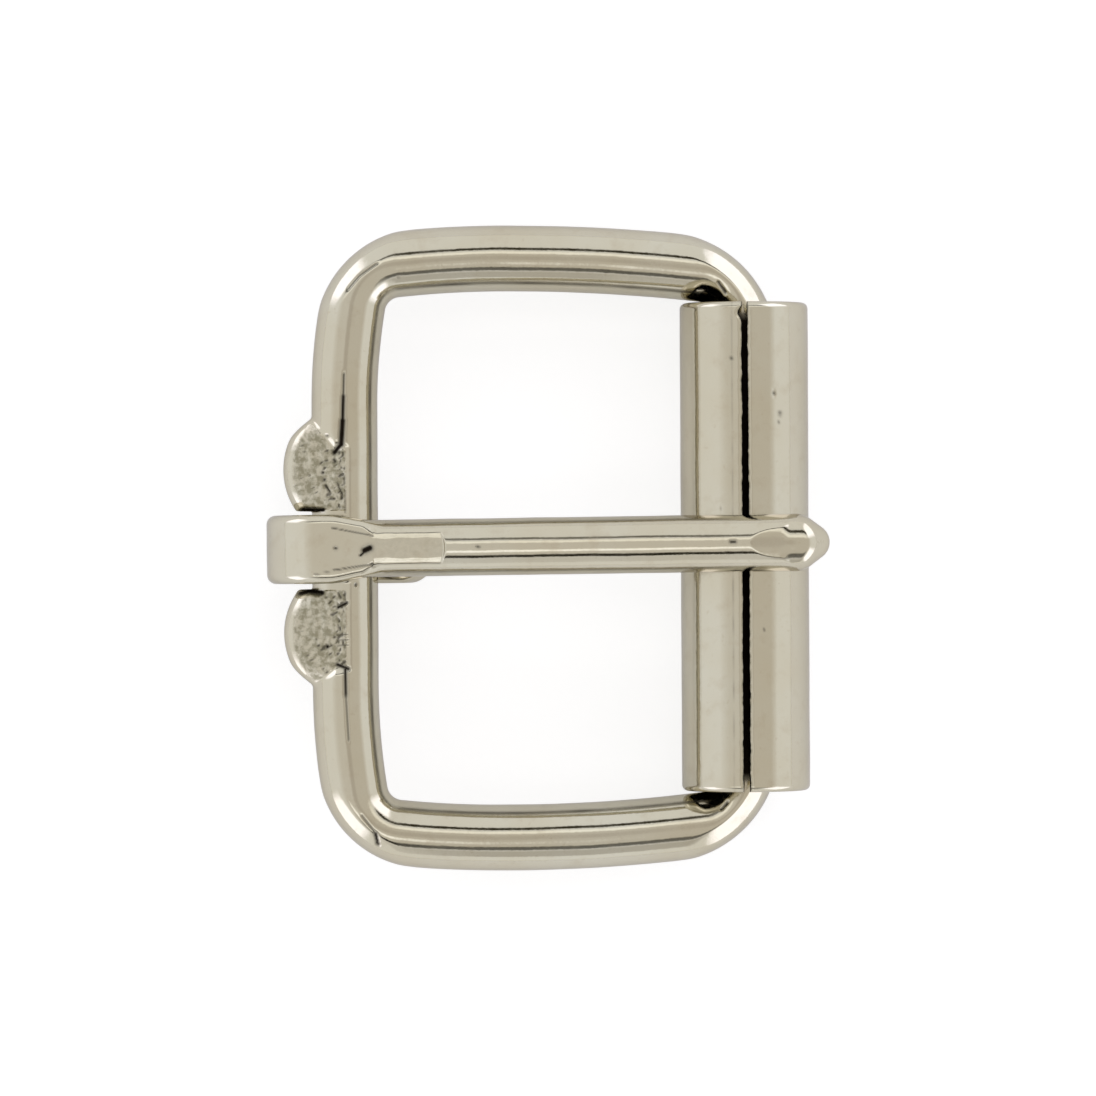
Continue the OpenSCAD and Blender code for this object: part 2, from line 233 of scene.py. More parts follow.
def half_loop(slot, ear_end):
    """From the middle of the tongue bar round to the middle of the roller bar. The rows lie
    close together beside the slot and over the ear, where the section changes quickly."""
    dense = min(ear_end + 0.3, BAR_HALF - 0.1)
    bar = np.vstack([line((0, y0), (0, y1), step) for y0, y1, step in (
        (0, slot - 1, 0.3), (slot - 1, slot - 0.1, 0.08), (slot - 0.1, slot + 0.25, 0.02),
        (slot + 0.25, dense, 0.08), (dense, BAR_HALF, 0.1))])
    runs = [(bar, np.tile([-1.0, 0.0], (len(bar), 1)))]
    runs.append(arc((HEEL_BOW_R, BAR_HALF), HEEL_BOW_R, 180, 180 - HEEL_BOW, 0.2))
    runs.append(arc(HEEL_BEND, HEEL_BEND_R, 180 - HEEL_BOW, 90 + NEAR_BOW, 0.14))
    runs.append(arc((CREST_X, CREST_Y - NEAR_BOW_R), NEAR_BOW_R, 90 + NEAR_BOW, 90, 0.3))
    runs.append(arc((CREST_X, CREST_Y - FAR_BOW_R), FAR_BOW_R, 90, 90 - FAR_BOW, 0.3))
    runs.append(arc(ROLLER_BEND, ROLLER_BEND_R, 90 - FAR_BOW, 0, 0.14))
    end = line((BAR_GAP, ROLLER_BEND[1]), (BAR_GAP, 0), 0.5)
    runs.append((end, np.tile([1.0, 0.0], (len(end), 1))))
    return np.vstack([r[0] for r in runs]), np.vstack([r[1] for r in runs])


# One ear on each side of the tongue: the middle of its disc and its face beside the slot, both
# as distances along the bar, and the foot and lean of the slanting line where it ends on the bar
EARS = {1: dict(middle=6.0, slot=2.85, foot=0.95, lean=1.23),
        -1: dict(middle=6.4, slot=3.05, foot=2.25, lean=0.79)}
EAR_X, EAR_R, EAR_RIM = 0.95, 5.6, 1.35  # the disc's middle, radius and half thickness
EAR_LEAN, EAR_END = 38.0, 4.62  # the slanting cut at its far end
EAR_ROOM = (EAR_END - WIRE * sind(EAR_LEAN)) / cosd(EAR_LEAN)
upper = half_loop(EARS[1]["slot"], EARS[1]["middle"] + EAR_ROOM)
lower = half_loop(EARS[-1]["slot"], EARS[-1]["middle"] + EAR_ROOM)
flip_y = np.array([1.0, -1.0])
loop_middle = np.vstack([upper[0], lower[0][:0:-1] * flip_y])
loop_out = np.vstack([upper[1], lower[1][:0:-1] * flip_y])
print("rows round the loop", len(loop_middle))


# %% [markdown]
# ## What was cut from the wire
# Three rules change the round section. The ears are flat discs with a rounded rim, pressed
# between two sloping faces, and each ear runs out in a slanting shoulder on the bar. The
# outsides of the four corners are worn to a rounder curve than the bend inside them, so the wire
# is thinner there. The same wear left a narrow flat facet on the shoulder of each corner, which
# is what catches the light as one broad white band.


# %% The rules for metal and air
PRESS_SLOPE, PRESS_AT = 17.5, 2.28  # slope of the press faces, distance from the middle line
FAR_RISE, SLOT_RISE = 0.36, 0.3  # how far they rise past the metal at the ends of an ear
SHOULDER_IN, SHOULDER_HIGH = 0.567, 1.1  # the shoulder passes this far inside, this high
SHOULDER_WAY = (0.592, 0.806)  # the direction that the shoulder faces, outwards and up
HEEL_WEAR, HEEL_WEAR_R = (6.0865, 15.9646), 8.3  # the worn curve beside the tongue bar
ROLLER_WEAR, ROLLER_WEAR_R = (23.96, 15.0495), 8.9  # the worn curve beside the roller bar
WEAR_SECTION, FACET_LEAN = 2.8, 40.0  # the ring's radius in section, the facet's slope
FACET_DEEP, FACET_MORE = 0.08, 0.02  # the facet is deeper beside the roller bar
WEAR_FADE = 0.3  # how far the rule is lifted off the wire where a corner ends


def ear_end(x, y, middle, foot, lean):
    """Distance beyond the far end of an ear: a slanting cut across its disc, and on the bar the
    sloping line y = middle + foot - lean * x, level near the crest, whichever comes first."""
    cut = (y - middle) * cosd(EAR_LEAN) - x * sind(EAR_LEAN) - EAR_END
    x = np.minimum(x, -0.8)
    return soft_max(cut, (y - middle - foot + lean * x) / math.hypot(1, lean), 0.3)


def ear_outside(x, y, z, middle, slot, foot, lean):
    """Distance outside an ear: a disc whose rim is half a circle in section, with sloping
    shoulders towards the bar, cut off flat beside the slot and at its far end."""
    rho = np.hypot(x - EAR_X, y - middle) - EAR_R
    rim = np.hypot(np.maximum(rho + EAR_RIM, 0), z) - EAR_RIM
    past = rho + SHOULDER_IN
    above = np.abs(z) - SHOULDER_HIGH
    shoulder = np.maximum(past * SHOULDER_WAY[0] + above * SHOULDER_WAY[1], past)
    ear = soft_max(soft_max(np.minimum(rim, shoulder), slot - y, 0.16), x - 0.1, 0.1)
    return soft_max(ear, ear_end(x, y, middle, foot, lean), 0.4)


def press_outside(x, y, z, middle, slot, foot, lean):
    """Distance outside the two sloping press faces. They rise out of the metal at both ends."""
    fade = (FAR_RISE * ease(ear_end(x, y, middle, foot, lean), -0.25, 0.35)
            + SLOT_RISE * ease(slot - y, 0.45, 0.85))
    return -x * sind(PRESS_SLOPE) + np.abs(z) * cosd(PRESS_SLOPE) - PRESS_AT - fade


def wear_outside(x, y, z, centre, radius, side):
    """Distance outside the worn corner: a thicker ring whose outer edge has the worn radius,
    with a leaning facet that is deepest in the middle of the corner. The whole rule is eased
    off where the corner ends, so that it leaves no step on the straight wire."""
    across, along = (x - centre[0]) * side, y - centre[1]
    flat = np.hypot(across, along)
    ring = np.hypot(np.maximum(flat - radius + WEAR_SECTION, 0), z) - WEAR_SECTION
    corner = 2 * across * along / flat ** 2
    facet = ((flat - radius + WEAR_SECTION) * sind(FACET_LEAN) + np.abs(z) * cosd(FACET_LEAN)
             - WEAR_SECTION + (FACET_DEEP + FACET_MORE * side) * ease(corner, 0.4, 0.9))
    fade = WEAR_FADE * (2 - ease(along, -0.4, 1.2) - ease(across, -0.4, 1.2))
    outer = (along > -0.4) & (across > -0.4)
    return np.where(outer, soft_max(ring, facet, 0.04) - fade, -1.0)


# %% Walk out along the rays of each row
# The rays lie closer together on the side that faces up
ROUND_COUNT, BUNCH = 138, 0.3
turn = np.linspace(0, 2 * np.pi, ROUND_COUNT, endpoint=False)
section_angle = (turn + BUNCH * np.cos(turn))[None, :] + np.zeros((len(loop_middle), 1))
ray = np.concatenate([loop_out[:, None, :] * np.cos(section_angle)[..., None],
                      np.sin(section_angle)[..., None]], -1)
hub = np.concatenate([loop_middle, np.zeros((len(loop_middle), 1))], -1)[:, None, :]


def frame_outside(r):
    """Positive outside the metal at the distance r from the middle line along each ray."""
    p = hub + ray * r[..., None]
    x, z = p[..., 0], p[..., 2]
    d = r - WIRE
    for side, ear in EARS.items():
        y = p[..., 1] * side
        mine = (y > 0) & (hub[..., 0] < 1)
        joined = soft_min(d, ear_outside(x, y, z, **ear), 0.18)
        pressed = soft_max(joined, press_outside(x, y, z, **ear), 0.2)
        d = np.where(mine, pressed, d)
    y = np.abs(p[..., 1])
    d = soft_max(d, wear_outside(x, y, z, HEEL_WEAR, HEEL_WEAR_R, -1), 0.14)
    return soft_max(d, wear_outside(x, y, z, ROLLER_WEAR, ROLLER_WEAR_R, 1), 0.14)


reach = walk_out(frame_outside, 0.3, np.full(section_angle.shape, 6.5))
print("thinnest and widest reach of the section", reach.min().round(2), reach.max().round(2))

# %% [markdown]
# ## Marks on the frame
# Hand work leaves traces that the eye reads as real: grainy press faces, small dark pits, a
# dark crease that runs on from the press along the crest, and the faint waviness of plated wire.
# They move the surface, and each also becomes a number per point that the finish reads: one
# for rough places and one for dark places, dirt and painted shade alike. Some are painted shade,
# dark without being deep: the bar inside the roller is painted dark as the shade in its bore, a
# dark line along the inside of the loop is a painted reflection of the shaded side of the bar
# across the loop, and a dark belt on the inner side of the tongue bar, a little below its middle,
# is painted shade.


# %% Helpers for marks seen from above
def streak(x, y, a, b, width):
    """1 on the line from a to b. Beside it a bell curve falls to about a third at `width`."""
    a, b = np.array(a, float), np.array(b, float)
    t = np.clip(((x - a[0]) * (b[0] - a[0]) + (y - a[1]) * (b[1] - a[1]))
                / max(((b - a) ** 2).sum(), 1e-9), 0, 1)
    away = np.hypot(x - a[0] - t * (b[0] - a[0]), y - a[1] - t * (b[1] - a[1]))
    return np.exp(-(away / width) ** 2)


# Each mark on the frame: from (x, y), to (x, y), its width and its depth, 1 being full
# The strokes beside the slot under each ear are painted shadow in the gap between ear and eye,
# and the diagonal strokes across the two corners beside the tongue bar are painted reflections
# that carry on the dark lines along the sides of the loop
FRAME_MARKS = (
    ((-0.11, 11.5), (-0.17, 9.69), 0.15, 1.2), ((-0.06, 13.2), (-0.11, 11.5), 0.09, 0.9),
    ((-0.17, 9.69), (-0.29, 7.89), 0.21, 1.4), ((-0.29, 7.89), (-0.82, 7.28), 0.18, 1.2),
    ((-0.85, 6.72), (-0.78, 6.6), 0.13, 0.9), ((-1.35, 8.56), (-1.34, 8.55), 0.10, 0.8),
    ((-1.72, 5.78), (-1.71, 5.77), 0.12, 1.1), ((-1.6, 5.25), (-1.59, 5.2), 0.10, 1.1),
    ((-1.49, 4.8), (-1.2, 4.35), 0.09, 1.0), ((-0.07, 5.4), (-0.07, 4.9), 0.09, 0.6),
    ((0.0, 4.4), (0.0, 2.7), 0.06, 0.5), ((-3.3, 2.98), (-1.7, 2.93), 0.15, 1.2),
    ((-3.5, -3.36), (-2.7, -3.14), 0.20, 1.2), ((-2.7, -3.14), (-1.85, -3.3), 0.20, 1.2),
    ((-0.59, -4.41), (0.08, -4.07), 0.12, 1.1), ((0.76, -2.74), (0.76, -2.68), 0.12, 0.9),
    ((-1.45, -7.37), (-1.44, -7.36), 0.15, 1.2), ((-0.67, -8.73), (0.16, -9.05), 0.15, 1.1),
    ((-0.07, -9.1), (-0.04, -11.05), 0.13, 1.1), ((-0.04, -11.05), (0.15, -14.4), 0.08, 0.7),
    ((-0.7, -6.5), (0.1, -6.45), 0.06, 0.6), ((-0.7, -6.9), (0.15, -6.85), 0.06, 0.6),
    ((-0.65, -7.3), (0.15, -7.25), 0.06, 0.6), ((-0.07, -3.2), (-0.05, -4.0), 0.06, 0.5),
    ((28.3, 19.97), (28.8, 19.2), 0.10, 0.9), ((28.3, -19.8), (28.75, -19.3), 0.10, 0.8),
    ((4.12, 21.0), (4.1, 20.4), 0.06, 0.7), ((0.3, 19.6), (1.16, 20.6), 0.08, 0.7),
    ((1.16, 20.6), (2.48, 21.52), 0.08, 0.7), ((2.15, -21.5), (2.3, -22.3), 0.14, 1.2),
    ((1.1, -20.1), (2.15, -21.5), 0.08, 0.7))
CREASE_DEEP, GRAIN_HIGH, WAVE_HIGH = 0.08, 0.045, 0.012  # how far each kind moves the surface
REFLECTION_LINE_AT, REFLECTION_LINE_WIDE = 140, 4.2  # the painted reflection line's angle round the section, 90 being the top
SHADE_BELT_AT, SHADE_BELT_WIDE = 197, 9  # the same for the painted shade belt, 180 being level on the inner side
print("marks on the frame", len(FRAME_MARKS))

# %% Grain, dark marks, painted shade and painted reflection
surface = hub + ray * reach[..., None]
fx, fy, fz = surface[..., 0], surface[..., 1], surface[..., 2]
up = np.clip(fz / 0.6, 0, 1)

# Each press face is grainy: inside the ear's rim, beyond the slot and before the ear's far end
grain = np.zeros_like(reach)
for side, ear in EARS.items():
    y = fy * side
    inside = ease(EAR_R - 0.66 - np.hypot(fx - EAR_X, y - ear["middle"]), -0.06, 0.1)
    beside = ease(y, ear["slot"] + 0.02, ear["slot"] + 0.12) * ease(-fx, -0.08, 0.04)
    before = ease(-ear_end(fx, y, *(ear[k] for k in ("middle", "foot", "lean"))), 0.22, 0.4)
    grain = np.maximum(grain, inside * beside * before)

# Dirt lies in the pits of the grain, most of all along the crest. The listed marks are dark too:
# most are dirt, pits and creases, and a few are painted shadow and painted reflection
pits = ripple(surface, 0.42, 33) + 0.6 * ripple(surface, 1.3, 34) + 0.25 * fx
grime_and_shade = 0.65 * up * grain * ease(pits, 0.4, 0.8)
crest = ease(-np.abs(fx + 0.35), -0.42, -0.1)
grime_and_shade = np.maximum(grime_and_shade, 0.7 * up * grain * crest * ease(ripple(surface, 0.33, 32), 0.25, 0.6))
for a, b, width, depth in FRAME_MARKS:
    grime_and_shade = np.maximum(grime_and_shade, depth * up * streak(fx, fy, a, b, width))
grime_and_shade = np.minimum(grime_and_shade, 1.0)

# Marks lower the surface, grain roughens it, and plain wire waves a little
rough = 0.8 * ripple(surface, 0.75, 3) + 0.4 * ripple(surface, 0.38, 5)
reach = reach - CREASE_DEEP * grime_and_shade + GRAIN_HIGH * grain * rough
reach = reach + WAVE_HIGH * ripple(surface, 5.0, 4) * (1 - grain)

# The painted reflection line is fainter in the bends beside the tongue bar and fades out at the
# roller bar
bar_x = hub[..., 0]
round_angle = np.degrees(section_angle)
painted_dark_lines = np.exp(-((round_angle - REFLECTION_LINE_AT) / REFLECTION_LINE_WIDE) ** 2)
painted_dark_lines = painted_dark_lines * (0.66 + 0.12 * ripple(surface, 3.0, 35))
painted_dark_lines = painted_dark_lines * (1 - 0.7 * np.exp(-((bar_x - 2.6) / 1.2) ** 2)) * ease(-bar_x, -29, -26)
# A belt of painted shade on the inner side of the tongue bar, a little below its middle
shade_belt = np.exp(-((round_angle - SHADE_BELT_AT) / SHADE_BELT_WIDE) ** 2) * ease(-bar_x, -6, -1)
painted_dark_lines = np.maximum(painted_dark_lines, 0.85 * shade_belt)
# The bar inside the roller is painted dark: painted shade in the roller's bore, seen through the
# seam
shade_inside_roller = ease(fx, 28.2, 28.6) * ease(-np.abs(fy), -17.9, -17.4)
grime_and_shade = np.maximum(np.maximum(grime_and_shade, painted_dark_lines), shade_inside_roller)
surface = hub + ray * reach[..., None]
buckle_frame = skin("buckle_frame", lay_frame(surface), "ring",
                    {"grain": grain, "grime_and_shade": grime_and_shade})

# %% [markdown]
# ## The roller: sheet rolled to a tube
# The roller is a strip of sheet rolled round until its ends nearly meet. The open seam faces up
# here. Its edges were sheared, so the gap is ragged and grows a little wider to one end, and the
# metal dips where it runs into the gap. A fine line from the rolling runs beside it. The sheared
# edges and the inner face along the seam, away from the open ends, are painted dark as the shade
# in the seam and in the bore. The section of the sheet is a thin rounded bar as long as the
# roller, and it is carried round the axis from one side of the seam to the other.

# %% The section of the sheet and the ragged seam
ROLLER_HALF, SHEET, RIM = 18.455, 1.1, 0.45  # half the length, the wall, the rim's radius
SEAM_HALF, SEAM_MORE, SEAM_GROWS = 0.255, 0.05, 0.02  # half the gap, and what changes it
NICK_AT, NICK_DEEP, NICK_WIDE = 17.6, 0.3, 0.35  # the nick near the far end of the seam


def sheet_section(along_count, rim_count):
    """The closed outline, as pairs of (place along the roller, distance from the axis). The
    outer face comes first, with its two rounded rims. The inner face mirrors it on the way
    back, so that point k and point m - 1 - k face each other across the sheet."""
    inner_r, outer_r = ROLLER_R - SHEET, ROLLER_R
    t = np.linspace(0, 90, rim_count)
    low = -ROLLER_HALF + RIM
    start = np.stack([low - RIM * cosd(t), outer_r - RIM + RIM * sind(t)], -1)
    outer = line((low, outer_r), (-low, outer_r), 2 * -low / along_count)[1:]
    end = np.stack([-low + RIM * sind(t), outer_r - RIM + RIM * cosd(t)], -1)
    top = np.vstack([start, outer, end])
    bottom = top.copy()
    bottom[:, 1] = inner_r + outer_r - top[:, 1]
    return np.vstack([top, bottom[::-1]])


def seam_edge(y, side):
    """From the middle of the seam to its edge, in millimetres: about a quarter, less on the
    right and towards the far end, with a ragged sheared edge and, on the left, a nick."""
    half = SEAM_HALF - SEAM_MORE * side - SEAM_GROWS * y / ROLLER_HALF
    p = np.stack([y, np.full_like(y, 5.0 * side), np.zeros_like(y)], -1)
    half = half + 0.03 * ripple(p, 1.3, 7) + 0.025 * ripple(p, 0.4, 8)
    if side < 0:
        half = half + NICK_DEEP * np.exp(-((y - NICK_AT) / NICK_WIDE) ** 2)
    return np.maximum(half, 0.1)


outline = sheet_section(along_count=150, rim_count=7)
y_round, r_round = outline[:, 0], outline[:, 1]
# Rows lie closer together beside the seam
share = np.linspace(0, 1, 281)
share = share - 0.11 * np.sin(2 * np.pi * share)
right_edge = np.degrees(seam_edge(y_round, 1) / ROLLER_R)
left_edge = np.degrees(seam_edge(y_round, -1) / ROLLER_R)
sweep = right_edge + share[:, None] * (360 - right_edge - left_edge)
roll_r = r_round + np.zeros_like(sweep)
roll_y = y_round + np.zeros_like(sweep)
flat = np.stack([sind(sweep) * roll_r, roll_y, cosd(sweep) * roll_r], -1)
print("rows round the roller", len(sweep), "points along it and back", len(outline))

# %% Marks on the roller
# Each dent: its place across and along the roller, and its width
DENTS = ((2.15, 11.55, 0.13), (2.6, 10.0, 0.16), (2.5, 9.3, 0.1),
         (-1.05, 14.2, 0.14), (1.3, -6.2, 0.09), (-1.9, 2.8, 0.08))
DRAWN_AT = 347.9  # the angle of the fine line, the seam being at 360 degrees

# The sheet waves a little and dips beside the seam
beside_seam = np.minimum(sweep - right_edge, 360 - left_edge - sweep)
roll_r = roll_r + 0.010 * ripple(flat, 6.0, 11) - 0.07 * np.exp(-(beside_seam / 1.7) ** 2)

# The sheared edges are rough, and they and the inner face on both sides of the seam are painted
# dark: painted shade in the seam and in the bore
inner_side = ease(-roll_r, -(ROLLER_R - 0.35), -(ROLLER_R - 0.6))
deep = ease(ROLLER_HALF - np.abs(roll_y), 2, 8)
grime_and_shade = np.maximum(ease(-beside_seam, -0.35, 0), inner_side * deep * ease(-beside_seam, -60, -40))
drawn = np.exp(-(sweep - DRAWN_AT) ** 2) * (0.16 + 0.10 * ripple(flat, 1.6, 12))
grime_and_shade = np.maximum(grime_and_shade, drawn * (1 - inner_side))
grain = ease(-beside_seam, -2.0, 0)
for px, py, size in DENTS:
    spot = streak(flat[..., 0], flat[..., 1], (px, py), (px, py), size) * (flat[..., 2] > 0)
    grime_and_shade = np.maximum(grime_and_shade, 0.8 * spot)
    roll_r = roll_r - 0.05 * spot
surface = np.stack([sind(sweep) * roll_r, roll_y, cosd(sweep) * roll_r], -1)
buckle_roller = skin("buckle_roller", surface + [ROLLER_X, 0, ROLLER_R], "strips",
                     {"grain": grain, "grime_and_shade": grime_and_shade})

# %% [markdown]
# ## The tongue: one wire from cut end to point
# The tongue starts as a round wire, a little thinner than the frame's. Its first part is
# flattened and bent round the bar, and the cut end is tucked under the shank. Then comes a flat
# left by the pressing tool, the round shank, a short bend down, and the blunt point. A rounded
# box whose width, height and corner radius change along the way is every one of these sections:
# with equal width and height and the largest corner radius it is the round wire.

# %% The way of the tongue's middle line
EYE_BORE, EYE_THICK, EYE_WIDE, EYE_EDGE = 2.62, 2.2, 5.2, 0.7  # EYE_EDGE rounds its corners
EYE_MIDDLE, EYE_TOP = EYE_BORE + EYE_THICK / 2, EYE_BORE + EYE_THICK
SLACK = 1.13  # how much longer than round the eye is
TAIL_WIDE, TAIL_LONG, TAIL_SLOPE = 4.7, 5.227, 33.5  # the tucked end
TAIL_SHIFT = 0.3  # it sits a little to one side
SHANK_R, SHANK_Z = 2.15, 2.95  # the round wire's radius, and its height over the bar's middle
DROOP_X, DROOP_R, DROOP = 31.7802, 12.0, 16.0  # start, radius and angle of the bend down
NOSE, NOSE_BALL = 2.0, 1.35  # the point's length and the radius of its blunt end
print("the bore leaves", round(EYE_BORE - WIRE, 2), "mm to the bar")


def way_piece(x, z, tangent, **sizes):
    """Rows of the way: their middle, direction and the sizes of the section there."""
    n = len(x)
    row = dict(x=x, z=z, tangent=np.zeros(n) + tangent, edge=np.zeros(n),
               wide=np.zeros(n), high=np.zeros(n), shift=np.zeros(n))
    row.update({k: np.zeros(n) + v for k, v in sizes.items()})
    return row


def along_arc(cx, cz, radius, start, end, count, **sizes):
    """An arc of the way. Its direction is a quarter turn back from its radius."""
    a = np.linspace(start, end, count, endpoint=False)
    sizes = {k: (v(a) if callable(v) else v) for k, v in sizes.items()}
    return way_piece(cx + radius * cosd(a), cz + radius * sind(a), a - 90, **sizes)


def strap(**changes):
    """The sizes of the flattened strap, with changes."""
    return {**dict(wide=EYE_WIDE, high=EYE_THICK, edge=EYE_EDGE), **changes}


# %% The tucked end and the eye
# The cut end is half a circle seen from above, and the first row is a hair short of its tip
s = TAIL_LONG - (TAIL_WIDE / 2) * (1 - cosd(np.linspace(0, 90, 16)))
s = np.concatenate([s, np.linspace(s[-1], 0, 14)[1:-1]])
s[0] -= 0.004
over = np.clip((s - TAIL_LONG + TAIL_WIDE / 2) / (TAIL_WIDE / 2), 0, 1)
tail_wide = TAIL_WIDE * np.sqrt(1 - over ** 2)
tail = way_piece(EYE_MIDDLE * sind(TAIL_SLOPE) + s * cosd(TAIL_SLOPE),
                 -EYE_MIDDLE * cosd(TAIL_SLOPE) + s * sind(TAIL_SLOPE), 180 + TAIL_SLOPE,
                 **strap(wide=tail_wide, shift=-TAIL_SHIFT,
                         edge=np.minimum(EYE_EDGE, tail_wide * 0.45)))
under = along_arc(0, 0, EYE_MIDDLE, TAIL_SLOPE - 90, -90, 14,
                  **strap(wide=TAIL_WIDE, shift=-TAIL_SHIFT))
floor_run = way_piece(np.linspace(0, -SLACK, 6, endpoint=False), np.full(6, -EYE_MIDDLE), 180,
                      **strap(wide=TAIL_WIDE, shift=-TAIL_SHIFT))
back = along_arc(-SLACK, 0, EYE_MIDDLE, -90, -270, 80, **strap(
    wide=lambda a: TAIL_WIDE + (EYE_WIDE - TAIL_WIDE) * ease(-a, 110, 170),
    shift=lambda a: -TAIL_SHIFT * (1 - ease(-a, 110, 170))))
print("rows of the loop", sum(len(piece["x"]) for piece in (tail, under, floor_run, back)))

# %% [markdown]
# ## From the strap to the round shank
# Over the bar the strap grows downwards into the round wire: its underside follows the hole for
# the bar, and its sides draw in. After that the section is the round wire all the way, cut by
# the flat of the pressing tool, bent down at the end and drawn in to the point.

# %% The sizes from the bar to the point
# Rows lie closer together where the section changes: beside the bar, on the flat, at the end
x = np.concatenate([np.linspace(-SLACK, 1.6, 34), np.linspace(1.65, 2.9, 40),
                    np.linspace(2.95, 9.0, 90), np.linspace(9.2, DROOP_X - 3, 70),
                    np.linspace(DROOP_X - 2.9, DROOP_X, 34)[:-1]])
bore = np.sqrt(np.maximum((EYE_BORE + 0.02) ** 2 - x ** 2, 0))
bottom = soft_max(np.where(x > 0, bore, EYE_BORE), np.full_like(x, SHANK_Z - SHANK_R), 0.05)
mix = ease(x, -0.6, 2.6)
top = EYE_TOP + (SHANK_Z + SHANK_R - EYE_TOP) * ease(x, 2.7, 3.8)
high = top - bottom
wide = EYE_WIDE + (2 * SHANK_R - EYE_WIDE) * mix
edge = EYE_EDGE + (SHANK_R - EYE_EDGE) * ease(x, 1.9, 3.8)
shank = way_piece(x, (top + bottom) / 2, 0,
                  wide=wide, high=high, edge=np.minimum(edge, high / 2 - 0.001))
print("the shank is", high[-1].round(2), "mm high where the bend begins")

# %% The bend and the point
# The point is a cone that ends in a ball, and touch is the angle where the two meet smoothly
touch = math.acos(NOSE_BALL / math.hypot(NOSE - NOSE_BALL, SHANK_R)) \
    - math.atan2(NOSE - NOSE_BALL, SHANK_R)
cone_end = NOSE - NOSE_BALL + NOSE_BALL * math.sin(touch)
cone_fall = (SHANK_R - NOSE_BALL * math.cos(touch)) / cone_end


def nose_radius(s):
    """The radius at s past the end of the bend: the shank runs softly into the cone."""
    return soft_min(SHANK_R - cone_fall * s, np.full_like(s, SHANK_R), 0.42)


def droop_wide(a):
    """The width on the bend: what the point would have at that distance before its start."""
    return 2 * nose_radius(-DROOP_R * np.radians(a - 90 + DROOP))


droop = along_arc(DROOP_X, SHANK_Z - DROOP_R, DROOP_R, 90, 90 - DROOP, 44, wide=droop_wide,
                  high=droop_wide, edge=lambda a: droop_wide(a) / 2 - 0.001)
s = np.linspace(0, cone_end, 14)[:-1]
ball = np.linspace(touch, math.pi / 2, 26)
r = np.maximum(np.concatenate([nose_radius(s), NOSE_BALL * np.cos(ball)]), 0.02)
s = np.concatenate([s, NOSE - NOSE_BALL + NOSE_BALL * np.sin(ball)])
nose = way_piece(DROOP_X + DROOP_R * sind(DROOP) + s * cosd(DROOP),
                 SHANK_Z - DROOP_R * (1 - cosd(DROOP)) - s * sind(DROOP), -DROOP,
                 wide=2 * r, high=2 * r, edge=r * 0.998)
way = {k: np.concatenate([piece[k] for piece in
                          (tail, under, floor_run, back, shank, droop, nose)])[:, None]
       for k in tail}
print("rows of the tongue", len(way["x"]))

# %% Walk out from the middle line to the surface
angle = np.linspace(0, 2 * np.pi, 144, endpoint=False)[None, :]
side_way, up_way = np.cos(angle), np.sin(angle)


def box_outside(side, height):
    """Distance outside a rounded box: outside the box drawn in by its corner radius, less
    that radius."""
    a = np.abs(side) - way["wide"] / 2 + way["edge"]
    b = np.abs(height) - way["high"] / 2 + way["edge"]
    return (np.hypot(np.maximum(a, 0), np.maximum(b, 0)) + np.minimum(np.maximum(a, b), 0)
            - way["edge"])


def tongue_place(r):
    """The place at the distance r along each ray, in the tongue's straight layout."""
    side, height = side_way * r, up_way * r
    return (way["x"] - sind(way["tangent"]) * height, side + way["shift"],
            way["z"] + cosd(way["tangent"]) * height)


PAD_START, PAD_END, PAD_HALF, PAD_LIP = 2.9, 8.5, 0.72, 0.168  # PAD_LIP is the lips' slope
TIP_CUT, TIP_DEPTH = 9.0, 0.23  # the slope of the leaf on the tip, and how deep it is cut


def tongue_outside(r):
    """Positive outside the metal: the rounded box, the flat of the pressing tool with sloping
    lips and a scooped end, and the leaf on top of the tip. The leaf is a cut that falls off to
    both sides as a parabola, faster towards the point."""
    d = box_outside(side_way * r, up_way * r)
    x, y, z = tongue_place(r)
    wavy = PAD_HALF + 0.05 * np.sin(2.1 * x) * np.sin(0.9 * x + 1)
    lip = np.where(x > PAD_START, PAD_LIP * np.maximum(np.abs(y) - wavy, 0), 0)
    rise = 0.5 * ease(x + 0.16 * y * y, PAD_END - 0.3, PAD_END + 0.15)
    rise = np.where((x > -2) & (z > 0), rise - lip, 1.0)
    d = soft_max(d, z - EYE_TOP - rise, 0.02)
    u = (x - DROOP_X) * cosd(TIP_CUT) - (z - SHANK_Z + DROOP_R) * sind(TIP_CUT)
    v = (x - DROOP_X) * sind(TIP_CUT) + (z - SHANK_Z + DROOP_R) * cosd(TIP_CUT)
    fall = (0.08 + 0.10 * ease(u, -0.4, 0.5)) * y * y + 0.05 * np.maximum(u - 0.6, 0) ** 2
    off = np.where((x > 20) & (u < 3.4), 0, 1.0)
    soft = 0.015 + 0.33 * ease(u, 1.0, 2.2)
    return soft_max(d, v - (DROOP_R + SHANK_R - TIP_DEPTH) + fall - off, soft)


far = np.full(box_outside(side_way, up_way).shape, 4.0)
reach = walk_out(tongue_outside, 0.0, far)
tx, ty, tz = tongue_place(reach)
print("tongue reaches", reach.min().round(3), reach.max().round(3))

